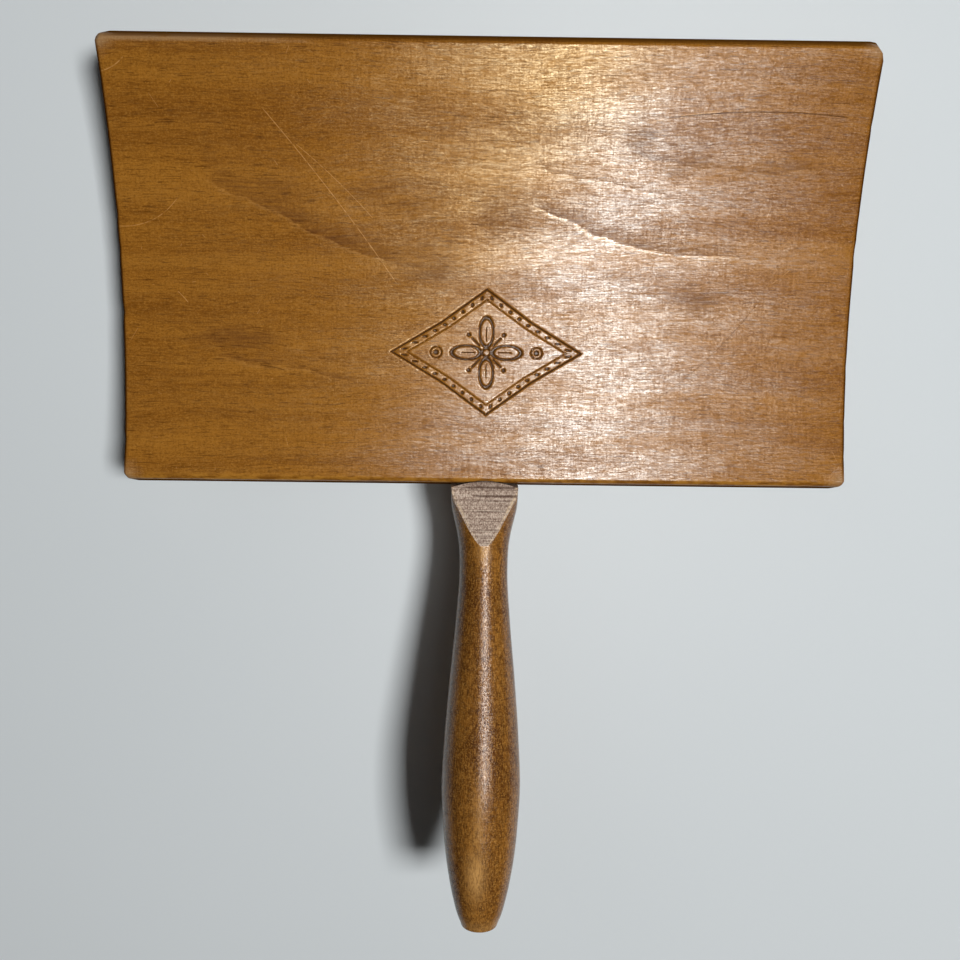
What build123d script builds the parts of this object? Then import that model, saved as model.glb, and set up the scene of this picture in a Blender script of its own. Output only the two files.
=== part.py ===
"""Curved wool hand card: a thin wooden back with wire-toothed clothing and a turned handle.

The card lies on its teeth. +X runs along the board's width, +Y from the handle to the toe edge and
+Z up, square to the chord of the curved board. The origin is the bottom centre of the whole card.
Lengths are millimetres and angles are degrees. The board, the clothing and the rows of teeth are
concentric arcs about one line parallel to X, called the arc axis, which lies above the card.
"""

from build123d import *
import math
import os

os.makedirs("parts", exist_ok=True)

# Back board
board_width = 222.25
board_chord = 127.0
board_sag = 9.1
board_thickness = 9.8
corner_radius = 2.0
back_round_over = 1.9
front_round_over = 0.8

# Handle, in distances from the board's heel edge along the handle
handle_pitch = 11.0
handle_length = 140.0
axis_drop = 1.2
shoulder_width = 20.8
neck_radius = 7.55
neck_at = 27.0
belly_radius = 12.35
belly_at = 98.0
butt_radius = 5.4
butt_round_over = 1.0
tenon_radius = 2.9
tenon_depth = 22.0
tenon_clearance = 0.05
seat_depth = 2.0
top_flat_start = (-2.5, 6.1)
top_flat_end = (18.5, 7.8)
underside_flat = 9.4

# Card clothing: a woven foundation faced with rubber, over the crowns of the wire teeth
wire = 0.38
crown_width = 0.45
fabric_thickness = 2.0
rubber_thickness = 1.4
clothing_width = 209.6
clothing_arc = 116.0

# Wire teeth, set in staggered rows
row_count = 34
teeth_per_row = 60
row_pitch = 3.2
tooth_pitch = 3.4
tooth_height = 7.2
knee_height = 3.1
knee_lean = -1.1
tip_lean = 1.0

# Fixing staples round the margin of the clothing
staple_crown = 9.0
staple_wire = 0.8
staple_leg_in_wood = 3.5
staples_across = 7
staples_down = 4

# Arc radii, measured from the arc axis
back_radius = ((board_chord / 2) ** 2 + board_sag**2) / (2 * board_sag)
front_radius = back_radius + board_thickness
fabric_radius = front_radius + wire
rubber_radius = fabric_radius + fabric_thickness
face_radius = rubber_radius + rubber_thickness
tip_radius = face_radius + tooth_height
middle_radius = back_radius + board_thickness / 2

# Angles about the arc axis, positive towards the handle
half_angle = math.degrees(math.asin(board_chord / 2 / back_radius))
clothing_half_angle = math.degrees(clothing_arc / 2 / fabric_radius)
row_step = math.degrees(row_pitch / fabric_radius)
first_row_angle = -row_step * (row_count - 1) / 2

# The lowest tooth tip touches z = 0, and the card's length is centred on y = 0
tip_reach = math.hypot(tip_radius, tip_lean + wire / 2)
tip_angle = math.degrees(math.atan2(tip_lean + wire / 2, tip_radius))
lowest_row = min(
    (first_row_angle + row_step * index + tip_angle for index in range(row_count)), key=abs
)
arc_z = tip_reach * math.cos(math.radians(lowest_row))
joint_drop = (middle_radius + axis_drop) * math.cos(math.radians(half_angle))
joint_back = (middle_radius + axis_drop) * math.sin(math.radians(half_angle))
toe_reach = front_radius * math.sin(math.radians(half_angle))
pitch = math.radians(handle_pitch)
butt_reach = joint_back + handle_length * math.cos(pitch) + butt_radius * math.sin(pitch)
board_y = (butt_reach - toe_reach) / 2

arc_centre = Vector(0, board_y, arc_z)
arc_axis = Axis(arc_centre, (1, 0, 0))
joint_point = Vector(0, board_y - joint_back, arc_z - joint_drop)
handle_direction = Vector(0, -math.cos(pitch), math.sin(pitch))


def on_arc(radius, angle):
    """The (y, z) place at a radius and an angle about the arc axis."""
    turn = math.radians(angle)
    return (board_y - radius * math.sin(turn), arc_z - radius * math.cos(turn))


def curved_plate(inner, outer, spread, width):
    """A plate between two concentric arcs, from -spread to +spread degrees and centred on x = 0."""
    with BuildPart() as plate:
        with BuildSketch(Plane.YZ):
            with BuildLine():
                inside = ThreePointArc(on_arc(inner, -spread), on_arc(inner, 0), on_arc(inner, spread))
                outside = ThreePointArc(on_arc(outer, -spread), on_arc(outer, 0), on_arc(outer, spread))
                Line(inside @ 0, outside @ 0)
                Line(inside @ 1, outside @ 1)
            make_face()
        extrude(amount=width / 2, both=True)
    return plate.part


def plate_plane(radius, angle, x=0.0):
    """A plane on an arc: its x runs along the card's width and its z points outwards, to the teeth."""
    y, z = on_arc(radius, angle)
    turn = math.radians(angle)
    return Plane(
        origin=(x, y, z), x_dir=(1, 0, 0), z_dir=(0, -math.sin(turn), -math.cos(turn))
    )


def write(part, name):
    """Labels a finished piece and writes it."""
    part.label = name
    export_step(part, f"parts/{name}.step", write_pcurves=False)


# Back board: rounded corners and edges, a seat for the handle's shoulder and a blind tenon hole.
# The seat is an upright cylinder that cuts seat_depth into the heel edge across the shoulder.
seat_radius = ((shoulder_width / 2) ** 2 + seat_depth**2) / (2 * seat_depth)
seat_centre_y = board_y - joint_back + seat_depth - seat_radius
seat_plane = Plane(origin=(0, seat_centre_y, 0))
tenon_plane = Plane(origin=joint_point, x_dir=(1, 0, 0), z_dir=-handle_direction)

with BuildPart() as back_board:
    add(curved_plate(back_radius, front_radius, half_angle, board_width))
    end_faces = back_board.faces().filter_by(Axis.X)
    corners = end_faces.edges().filter_by(GeomType.LINE)
    fillet(corners, radius=corner_radius)
    back_face = back_board.faces().filter_by(GeomType.CYLINDER).sort_by(SortBy.AREA)[-2]
    fillet(back_face.edges(), radius=back_round_over)
    front_face = back_board.faces().filter_by(GeomType.CYLINDER).sort_by(SortBy.AREA)[-1]
    fillet(front_face.edges(), radius=front_round_over)
    with BuildSketch(seat_plane):
        Circle(seat_radius)
    extrude(amount=arc_z, mode=Mode.SUBTRACT)
    with BuildSketch(tenon_plane):
        Circle(tenon_radius + tenon_clearance)
    extrude(amount=tenon_depth + 1, mode=Mode.SUBTRACT)
write(back_board.part, "back_board")

# Handle: the turned profile flares towards the board into a shoulder with four flats, where the
# square blank was left unturned. The shoulder is flush with the board's back and front.
# In handle_plane, x runs from the joint to the butt and y runs down, square to the handle.
handle_plane = Plane(origin=joint_point, x_dir=handle_direction, z_dir=(1, 0, 0))
handle_axis = Axis(joint_point, handle_direction)
flat_reach = 40.0
cut_width = shoulder_width + 20
flare_start = (-2 * seat_depth, 15.0)
side_flats_end = 20.0

with BuildPart() as handle:
    with BuildSketch(handle_plane):
        with BuildLine():
            outline = Spline(
                flare_start,
                (4.3, 11.75),
                (8.5, 10.2),
                (13, 8.95),
                (18, 8.0),
                (neck_at, neck_radius),
                (42, 8.45),
                (62, 10.3),
                (80, 11.7),
                (belly_at, belly_radius),
                (106, 11.9),
                (115, 11.15),
                (123, 10.0),
                (131, 8.4),
                (136, 7.05),
                (handle_length, butt_radius),
                tangents=((1, -0.42), (1, -0.42)),
            )
            Polyline(outline @ 1, (handle_length, 0), (flare_start[0], 0), flare_start)
        make_face()
    revolve(axis=handle_axis)
    butt_edge = handle.edges().filter_by(GeomType.CIRCLE).sort_by(handle_axis)[-1]
    fillet(butt_edge, radius=butt_round_over)
    # The flat on the back side runs out at the neck.
    with BuildSketch(handle_plane):
        with BuildLine():
            top_flat = Line(
                (top_flat_start[0], -top_flat_start[1]), (top_flat_end[0], -top_flat_end[1])
            )
            lead_in = Line(top_flat @ 0, top_flat @ 0 - (top_flat % 0) * seat_depth)
            run_out = Line(top_flat @ 1, top_flat @ 1 + (top_flat % 1) * seat_depth)
            Polyline(
                run_out @ 1,
                (flat_reach, -flat_reach),
                (-flat_reach, -flat_reach),
                lead_in @ 1,
            )
        make_face()
    extrude(amount=cut_width / 2, both=True, mode=Mode.SUBTRACT)
    # The flats on the two sides
    for side in (-1, 1):
        with BuildSketch(handle_plane.offset(side * shoulder_width / 2)):
            Rectangle(2 * side_flats_end, 2 * flat_reach)
        extrude(amount=side * flat_reach, mode=Mode.SUBTRACT)
    # The flat on the teeth side is parallel to the board's chord.
    with BuildSketch(Plane.XY.offset(arc_z - back_radius + board_sag - underside_flat)):
        with Locations((0, board_y - joint_back)):
            Rectangle(cut_width, 2 * flat_reach)
    extrude(amount=-flat_reach, mode=Mode.SUBTRACT)
    # The shoulder's end is rounded to fill the seat in the board.
    with BuildSketch(Plane.XY):
        with Locations((0, board_y - joint_back + flat_reach / 2)):
            Rectangle(cut_width, flat_reach + 2 * seat_depth)
        with Locations((0, seat_centre_y)):
            Circle(seat_radius, mode=Mode.SUBTRACT)
    extrude(amount=arc_z, mode=Mode.SUBTRACT)
    with BuildSketch(tenon_plane):
        Circle(tenon_radius)
    extrude(amount=tenon_depth)
write(handle.part, "handle")

# Clothing foundation: woven fabric against the crowns, with a rubber face
fabric = curved_plate(fabric_radius, rubber_radius, clothing_half_angle, clothing_width)
rubber = curved_plate(rubber_radius, face_radius, clothing_half_angle, clothing_width)
write(fabric, "clothing_fabric")
write(rubber, "clothing_rubber")

# Tooth rows: each row is a comb of bent teeth on a crown wire that lies against the board.
# In the tooth profile, the first value is the lean towards the handle and the second the radius.
crown_radius = front_radius + wire / 2
knee_radius = face_radius + knee_height
row_length = (teeth_per_row - 1) * tooth_pitch
stagger = tooth_pitch / 4
tooth_line = ((0, crown_radius), (knee_lean, knee_radius), (tip_lean, tip_radius))


def comb_at_rest(shift):
    """One row of teeth straight below the arc axis, shifted along the card's width."""
    near = [(board_y - lean - wire / 2, arc_z - radius) for lean, radius in tooth_line]
    far = [(board_y - lean + wire / 2, arc_z - radius) for lean, radius in tooth_line]
    with BuildPart() as comb:
        for index in range(teeth_per_row):
            x = shift + index * tooth_pitch - row_length / 2
            with BuildSketch(Plane.YZ.offset(x - wire / 2)):
                with BuildLine():
                    Polyline(*near, *reversed(far), close=True)
                make_face()
        extrude(amount=wire)
        with BuildSketch(Plane.YZ.offset(shift - row_length / 2 - wire / 2)):
            with Locations((board_y, arc_z - crown_radius)):
                Rectangle(crown_width, wire)
        extrude(amount=row_length + wire)
    return comb.part


combs = [comb_at_rest(-stagger), comb_at_rest(stagger)]
for index in range(row_count):
    # A positive turn about +X swings the bottom towards +Y, so towards the toe edge.
    angle = first_row_angle + row_step * index
    with BuildPart() as tooth_row:
        add(combs[index % 2].rotate(arc_axis, -angle))
    write(tooth_row.part, f"tooth_row_{index + 1:02d}")

# Fixing staples, in the bare margin between the teeth and the edge of the clothing
row_half_angle = -first_row_angle
margin_angle = (row_half_angle + clothing_half_angle) / 2 + 0.15
margin_x = (row_length / 2 + clothing_width / 2) / 2 + 0.2
staple_leg = face_radius - front_radius + staple_leg_in_wood


def staple_group(places, turned):
    """Staples at (x, angle) places, each driven from the rubber face into the board."""
    with BuildPart() as group:
        for x, angle in places:
            plane = plate_plane(face_radius, angle, x)
            crown_size = (staple_crown, staple_wire)
            leg_places = [(-1, 0), (1, 0)]
            if turned:
                crown_size = (staple_wire, staple_crown)
                leg_places = [(0, -1), (0, 1)]
            leg_offset = (staple_crown - staple_wire) / 2
            with BuildSketch(plane):
                Rectangle(*crown_size)
            extrude(amount=staple_wire)
            with BuildSketch(plane):
                with Locations(*[(leg_offset * i, leg_offset * j) for i, j in leg_places]):
                    Rectangle(staple_wire, staple_wire)
            extrude(amount=-staple_leg)
    return group.part


across = [(i / (staples_across - 1) - 0.5) * (clothing_width - 26) for i in range(staples_across)]
down = [(i / (staples_down - 1) - 0.5) * 2 * (row_half_angle - 1.5) for i in range(staples_down)]
write(staple_group([(x, -margin_angle) for x in across], turned=False), "staples_toe")
write(staple_group([(x, margin_angle) for x in across], turned=False), "staples_heel")
write(staple_group([(-margin_x, angle) for angle in down], turned=True), "staples_left")
write(staple_group([(margin_x, angle) for angle in down], turned=True), "staples_right")

print(f"arc axis at y {board_y:.3f}, z {arc_z:.3f}; back radius {back_radius:.3f}")
print(f"handle joint at y {joint_point.Y:.3f}, z {joint_point.Z:.3f}")
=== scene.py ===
"""Looks of the wool hand card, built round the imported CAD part, in metres in the row frame.

The card lies on its teeth: +X along the board, +Y towards the toe edge, +Z up. The board, the
clothing and the rows of teeth are arcs about the arc axis, a line parallel to X above the card.
"""

import functools
import math
import random

import bpy
import numpy as np
from mathutils import Matrix, Vector


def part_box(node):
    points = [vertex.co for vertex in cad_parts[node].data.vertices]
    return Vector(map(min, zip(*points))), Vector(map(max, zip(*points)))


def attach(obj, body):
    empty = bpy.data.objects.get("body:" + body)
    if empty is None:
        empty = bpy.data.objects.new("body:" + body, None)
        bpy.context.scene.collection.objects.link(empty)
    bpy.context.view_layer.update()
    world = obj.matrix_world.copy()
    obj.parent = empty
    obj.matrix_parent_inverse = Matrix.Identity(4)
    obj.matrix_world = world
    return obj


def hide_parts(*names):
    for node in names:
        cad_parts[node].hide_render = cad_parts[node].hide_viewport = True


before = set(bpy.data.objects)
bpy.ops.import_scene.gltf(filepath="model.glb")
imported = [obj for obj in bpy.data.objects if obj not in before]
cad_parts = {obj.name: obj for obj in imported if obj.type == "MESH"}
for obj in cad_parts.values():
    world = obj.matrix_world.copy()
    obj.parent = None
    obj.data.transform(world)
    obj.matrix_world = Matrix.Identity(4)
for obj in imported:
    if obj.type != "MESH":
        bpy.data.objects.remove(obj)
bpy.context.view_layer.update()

MM = 0.001

# Sizes of the CAD part
BOARD_CHORD = 127 * MM
BOARD_SAG = 9.1 * MM
BOARD_THICKNESS = 9.8 * MM
WIRE = 0.38 * MM
FABRIC_THICKNESS = 2.0 * MM
RUBBER_THICKNESS = 1.4 * MM
TOOTH_HEIGHT = 7.2 * MM

# Arc radii, from the arc axis
BACK_RADIUS = ((BOARD_CHORD / 2) ** 2 + BOARD_SAG**2) / (2 * BOARD_SAG)
FRONT_RADIUS = BACK_RADIUS + BOARD_THICKNESS
FABRIC_RADIUS = FRONT_RADIUS + WIRE
RUBBER_RADIUS = FABRIC_RADIUS + FABRIC_THICKNESS
FACE_RADIUS = RUBBER_RADIUS + RUBBER_THICKNESS
TIP_RADIUS = FACE_RADIUS + TOOTH_HEIGHT
HALF_ANGLE = math.asin(BOARD_CHORD / 2 / BACK_RADIUS)
HALF_ARC = HALF_ANGLE * BACK_RADIUS

# Places read from the frame
board_low, board_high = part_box("back_board")
HALF_WIDTH = (board_high.x - board_low.x) / 2
BOARD_Y = (board_high.y + board_low.y) / 2
ARC_Z = board_low.z + FRONT_RADIUS
CHORD_Z = ARC_Z - BACK_RADIUS + BOARD_SAG

# The handle starts a little below the middle of the board's heel edge and is pitched up
AXIS_DROP = 1.2 * MM
PITCH = math.radians(11)
JOINT_RADIUS = BACK_RADIUS + BOARD_THICKNESS / 2 + AXIS_DROP
JOINT_REACH = JOINT_RADIUS * math.sin(HALF_ANGLE)
JOINT = Vector((0, BOARD_Y - JOINT_REACH, ARC_Z - JOINT_RADIUS * math.cos(HALF_ANGLE)))
ALONG = Vector((0, -math.cos(PITCH), math.sin(PITCH)))
ABOVE = Vector((0, math.sin(PITCH), math.cos(PITCH)))
SHOULDER_HALF = 10.4 * MM
SEAT_DEPTH = 2 * MM
SEAT_RADIUS = (SHOULDER_HALF**2 + SEAT_DEPTH**2) / (2 * SEAT_DEPTH)
SEAT_CENTRE_Y = JOINT.y + SEAT_DEPTH - SEAT_RADIUS


# ---- meshes


def in_scene(name, data):
    """A new object in the scene, which shows this mesh, lamp or lens."""
    made = bpy.data.objects.new(name, data)
    bpy.context.scene.collection.objects.link(made)
    return made


def make_object(name, vertices, faces, materials, face_material=None, sharp_degrees=40):
    """A smooth-shaded mesh object, with its edges sharper than sharp_degrees kept hard."""
    mesh = bpy.data.meshes.new(name)
    mesh.from_pydata([tuple(v) for v in vertices], [], faces)
    for material in materials:
        mesh.materials.append(material)
    if face_material is not None:
        mesh.polygons.foreach_set("material_index", face_material)
    mesh.polygons.foreach_set("use_smooth", [True] * len(mesh.polygons))
    mesh.set_sharp_from_angle(angle=math.radians(sharp_degrees))
    mesh.update()
    return in_scene(name, mesh)


def set_attribute(piece, name, values):
    """Stores one number for each vertex, which the materials read by name."""
    attribute = piece.data.attributes.new(name, "FLOAT", "POINT")
    attribute.data.foreach_set("value", np.asarray(values, np.float32))


def stand_for(piece, slot, *nodes):
    """The piece rides on the one body and shows in place of these CAD nodes."""
    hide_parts(*nodes)
    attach(piece, "root")


def smooth(low, high, value):
    """0 below low, 1 above high, and a smooth rise between them."""
    t = np.clip((value - low) / (high - low), 0, 1)
    return t * t * (3 - 2 * t)


def arc_points(u, v, w):
    """Points at u along the width, v along the back's arc towards the toe, and w below the back."""
    angle = np.asarray(v) / BACK_RADIUS
    radius = BACK_RADIUS + np.asarray(w)
    y, z = BOARD_Y + radius * np.sin(angle), ARC_Z - radius * np.cos(angle)
    return np.stack([u, y, z], axis=-1)


def spaced(low, high, step):
    """Evenly spaced values from low to high, both included, about one step apart."""
    return list(np.linspace(low, high, max(2, round((high - low) / step) + 1)))


def joined(*runs):
    """One sorted list of the runs' values, without near repeats."""
    values = sorted(x for run in runs for x in run)
    return [x for i, x in enumerate(values) if i == 0 or x - values[i - 1] > 1e-6]


def turned(x, y, angle):
    """The place x, y along and across a direction at this angle."""
    sin, cos = math.sin(angle), math.cos(angle)
    return x * cos + y * sin, -x * sin + y * cos


def ring_quads(rings, count, start=0):
    """Quads between closed rings of count points each, ring after ring."""
    turns = [(i, (i + 1) % count) for i in range(count)]
    firsts = [start + ring * count for ring in range(rings - 1)]
    return [[a + i, a + j, a + count + j, a + count + i] for a in firsts for i, j in turns]


def append_wire(vertices, faces, points, wire_faces):
    """Adds one wire to the vertices and faces of a piece."""
    start = len(vertices)
    vertices.extend(points)
    faces += [[i + start for i in face] for face in wire_faces]


class Mesher:
    """Collects the faces of a closed surface in (u, v, w) and shares their common corners."""

    def __init__(self):
        self.places, self.index, self.faces = [], {}, []

    def corner(self, place):
        key = tuple(round(x * 1e7) for x in place)
        if key not in self.index:
            self.index[key] = len(self.places)
            self.places.append(place)
        return self.index[key]

    def face(self, places):
        self.faces.append([self.corner(p) for p in places])


# Steps across a rounded edge, at each end of a grid's lines
EDGE_STEPS = 4


def slab(u_lines, v_lines, w_lines, coarse_front=None):
    """The six faces of a box as grids. Front rows nearer the middle than coarse_front have one wide
    face between their edges, which also takes the points of the next fine row."""
    mesher = Mesher()
    u_pairs, v_pairs = list(zip(u_lines, u_lines[1:])), list(zip(v_lines, v_lines[1:]))
    top, bottom = w_lines[0], w_lines[-1]
    for u0, u1 in u_pairs:
        for v0, v1 in v_pairs:
            mesher.face([(u0, v0, top), (u1, v0, top), (u1, v1, top), (u0, v1, top)])
    edges = u_lines[: EDGE_STEPS + 1] + u_lines[-EDGE_STEPS - 1 :]
    inner = u_lines[EDGE_STEPS + 1 : -EDGE_STEPS - 1]
    for v0, v1 in v_pairs:
        fine0, fine1 = (coarse_front is None or abs(v) > coarse_front for v in (v0, v1))
        if fine0 and fine1:
            for u0, u1 in u_pairs:
                corners = (u0, v1), (u1, v1), (u1, v0), (u0, v0)
                mesher.face([(u, v, bottom) for u, v in corners])
            continue
        for i, (u0, u1) in enumerate(zip(edges, edges[1:])):
            near, far = [(u0, v0, bottom), (u1, v0, bottom)], [(u1, v1, bottom), (u0, v1, bottom)]
            if i == EDGE_STEPS:
                near[1:1] = [(u, v0, bottom) for u in inner if fine0]
                far[1:1] = [(u, v1, bottom) for u in reversed(inner) if fine1]
            mesher.face((near + far)[::-1])
    for w0, w1 in zip(w_lines, w_lines[1:]):
        low, high = v_lines[0], v_lines[-1]
        for u0, u1 in u_pairs:
            mesher.face([(u0, low, w1), (u1, low, w1), (u1, low, w0), (u0, low, w0)])
            mesher.face([(u0, high, w0), (u1, high, w0), (u1, high, w1), (u0, high, w1)])
        low, high = u_lines[0], u_lines[-1]
        for v0, v1 in v_pairs:
            mesher.face([(low, v0, w0), (low, v1, w0), (low, v1, w1), (low, v0, w1)])
            mesher.face([(high, v0, w1), (high, v1, w1), (high, v1, w0), (high, v0, w0)])
    return np.array(mesher.places), mesher.faces


# ---- materials

# Materials work in millimetres
MM_IN_METRE = 1000


def srgb(red, green, blue):
    """A colour given as 0 to 255 values on a screen, in the linear form that shaders use."""
    shares = [value / 255 for value in (red, green, blue)]
    return (*[((s + 0.055) / 1.055) ** 2.4 if s > 0.04 else s / 12.92 for s in shares], 1)


class Look:
    """A node material. Its methods add nodes and return their output socket, apart from base, lay
    and stain, which make the base colour. Tones are 0 to 255 values."""

    def __init__(self, name, **shader_values):
        self.material = bpy.data.materials.new(name)
        self.material.use_nodes = True
        self.tree = self.material.node_tree
        self.shader = self.tree.nodes["Principled BSDF"]
        for socket, value in shader_values.items():
            self.shader.inputs[socket.replace("_", " ")].default_value = value
        metres = self.node("ShaderNodeTexCoord").outputs["Object"]
        self.place = self.scaled(metres, (MM_IN_METRE,) * 3)
        self.colour = None

    def node(self, kind, inputs=(), **settings):
        made = self.tree.nodes.new(kind)
        for key, value in settings.items():
            setattr(made, key, value)
        for key, value in dict(inputs).items():
            self.put(made.inputs[key], value)
        return made

    def put(self, socket, value):
        if isinstance(value, bpy.types.NodeSocket):
            self.tree.links.new(value, socket)
        else:
            socket.default_value = value

    def finish(self, **sockets):
        self.put(self.shader.inputs["Base Color"], self.colour)
        for key, value in sockets.items():
            self.put(self.shader.inputs[key.replace("_", " ")], value)
        return self.material

    def math(self, operation, a, b=0.0, c=0.0):
        return self.node("ShaderNodeMath", {0: a, 1: b, 2: c}, operation=operation).outputs[0]

    def times(self, a, b):
        return self.math("MULTIPLY", a, b)

    def linear(self, value, factor, start):
        return self.math("MULTIPLY_ADD", value, factor, start)

    def higher(self, a, b):
        return self.math("MAXIMUM", a, b)

    def vector(self, operation, a, b=(0, 0, 0), output=0):
        made = self.node("ShaderNodeVectorMath", {0: a, 1: b}, operation=operation)
        return made.outputs[output]

    def dot(self, a, b):
        return self.vector("DOT_PRODUCT", a, b, output=1)

    def scaled(self, vector, factors):
        return self.vector("MULTIPLY", vector, factors)

    def noise(self, vector, factors, detail=2.0, roughness=0.5, distortion=0.0):
        values = {"Vector": self.scaled(vector, factors), "Scale": 1.0, "Detail": detail}
        values.update(Roughness=roughness, Distortion=distortion)
        return self.node("ShaderNodeTexNoise", values).outputs["Fac"]

    def attribute(self, name):
        return self.node("ShaderNodeAttribute", attribute_name=name).outputs["Fac"]

    def rise(self, value, low, high, to_low=0.0, to_high=1.0):
        values = {0: value, 1: low, 2: high, 3: to_low, 4: to_high}
        made = self.node("ShaderNodeMapRange", values, interpolation_type="SMOOTHSTEP")
        return made.outputs[0]

    def mix(self, share, a, b):
        made = self.node("ShaderNodeMix", data_type="RGBA")
        for index, value in ((0, share), (6, a), (7, b)):
            self.put(made.inputs[index], value)
        return made.outputs[2]

    def base(self, value, span, first, second):
        """Starts the base colour: two tones blended where a value rises over the span."""
        self.colour = self.mix(self.rise(value, *span), srgb(*first), srgb(*second))

    def lay(self, share, tone):
        """Mixes a tone, or a socket, over the base colour."""
        tone = srgb(*tone) if isinstance(tone, tuple) else tone
        self.colour = self.mix(share, self.colour, tone)

    def stain(self, value, span, tone):
        """Lays a tone where a value rises over the span."""
        self.lay(self.rise(value, *span), tone)

    def split(self, vector):
        return self.node("ShaderNodeSeparateXYZ", {0: vector}).outputs

    def point(self, x, y, z=0.0):
        return self.node("ShaderNodeCombineXYZ", {0: x, 1: y, 2: z}).outputs[0]

    def bump(self, height, strength, distance):
        values = {"Height": height, "Strength": strength, "Distance": distance}
        return self.node("ShaderNodeBump", values).outputs[0]


def scratch_mask(look, place, start, end, bulge, width):
    """1 on a fine line from start to end, both (x, y), that bows by bulge to its left."""
    span = Vector((end[0] - start[0], end[1] - start[1], 0))
    from_start = look.vector("SUBTRACT", place, (*start, 0))
    share = look.dot(from_start, tuple(span / span.length_squared))
    offset = look.dot(from_start, (-span.y / span.length, span.x / span.length, 0))
    centred = look.linear(share, 2.0, -1.0)
    bow = look.linear(look.times(centred, centred), -bulge, bulge)
    beside = look.math("ABSOLUTE", look.math("SUBTRACT", offset, bow))
    within = look.rise(look.math("ABSOLUTE", centred), 1.0, 0.9)
    return look.times(look.rise(beside, width, width * 0.3), within)


def short_scratches(look, place, spacing, length, width):
    """Short straight scratches at random angles, one in most cells of a grid of this spacing."""
    cell_place = look.scaled(place, (1 / spacing,) * 3)
    values = {"Vector": cell_place, "Scale": 1.0}
    cells = look.node("ShaderNodeTexVoronoi", values, voronoi_dimensions="2D").outputs
    offset = look.scaled(look.vector("SUBTRACT", cell_place, cells["Position"]), (spacing,) * 3)
    chance = look.split(cells["Color"])
    values = {"Vector": offset, "Angle": look.times(chance[0], math.pi)}
    rotated = look.node("ShaderNodeVectorRotate", values, rotation_type="Z_AXIS").outputs[0]
    along, across, _ = look.split(rotated)
    reach = look.linear(look.times(chance[1], chance[2]), length, -0.3 * length)
    within = look.math("LESS_THAN", look.math("ABSOLUTE", along), reach)
    return look.times(look.rise(look.math("ABSOLUTE", across), width, width * 0.3), within)


def figure_with_highlight(look, x, y, curve, reach, ends, highlight_strength):
    """The dark figure and the painted highlight on the light side of one growth line. curve is (a,
    b, c) of y = a + b t + c t², with t from 0 to 1 between the two ends in x. The dark figure fades
    away above the line over reach, and the last argument sets how bright the thin painted highlight
    below the line is."""
    t = look.node("ShaderNodeMapRange", {0: x, 1: ends[0], 2: ends[1]}).outputs[0]
    line = look.linear(t, look.linear(t, curve[2], curve[1]), curve[0])
    height = look.math("SUBTRACT", y, line)
    above = look.times(look.rise(height, -0.2, 0.2), look.rise(height, reach, 0.0))
    below = look.times(look.rise(height, 0.1, -0.2), look.rise(height, -1.6, -0.2))
    inside = look.times(look.rise(t, 0.0, 0.12), look.rise(t, 1.0, 0.75))
    return look.times(above, inside), look.times(look.times(below, highlight_strength), inside)


def cloud_shade(look, place, centre, size):
    """1 in the middle of a soft elliptical patch and 0 outside it."""
    offset = look.vector("SUBTRACT", place, (*centre, 0))
    reach = look.vector("LENGTH", look.scaled(offset, (1 / size[0], 1 / size[1], 0)), output=1)
    return look.rise(reach, 1.0, 0.25)


# Long scratches as start, end, bow and half width, in millimetres from the board's centre
PALE_SCRATCHES = [
    ((-66.2, 45.9), (-26.4, -5.5), 0.9, 0.17),
    ((-57, 36), (-33.5, 14), 0.7, 0.11),
    ((-111, 11.8), (-92.1, 20.3), -2.7, 0.14),
    ((-110.6, 54), (-103.5, 57.8), -0.6, 0.20),
    ((45.5, 42.3), (66, 45.6), 0.5, 0.34),
    ((91.6, 1.5), (85.9, -3), 0.2, 0.14),
    ((-94, -7), (-90.8, -10.5), 0.1, 0.18),
    ((84.5, 21), (82, 13), 0.2, 0.09),
]
DARK_SCRATCHES = [
    ((50, 43.6), (105, 44.5), 1.7, 0.28),
    ((47.6, -41.2), (83.2, -7.5), -2.6, 0.10),
    ((-69.4, -29), (-61.7, -30.5), 0.2, 0.22),
]
# Short scratches all over the board as spacing, length and half width
SHORT_SCRATCHES = [(17, 5, 0.10), (11, 1.8, 0.15)]
# Growth lines as the curve, how far the dark figure reaches above it, its ends in x and how bright
# the painted highlight on its light side is
GROWTH_LINES = [
    ((27.4, -39.7, 9.4), 9, (-86, -15), 0.2),
    ((20.8, -36.5, 20.6), 7, (9, 84), 1),
    ((31, -12, 3), 2.5, (12, 60), 0.3),
    ((34.5, -11, 6), 4, (38, 104), 0.1),
    ((-27, -3, -5), 3, (-84, -34), 0.1),
]
# Dark clouds in the wood as centre and half size
CLOUDS = [
    ((-64, 21.5), (16, 7)),
    ((-24, 22.5), (21, 9.5)),
    ((5, 17), (13, 12)),
    ((44, 39), (7, 8)),
    ((57, 33), (12, 8)),
    ((-18, 2), (16, 10)),
    ((62, -8), (14, 9)),
    ((-76, -21), (20, 5)),
]


def strongest(look, masks):
    """The highest of several masks."""
    return functools.reduce(look.higher, masks)


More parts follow.
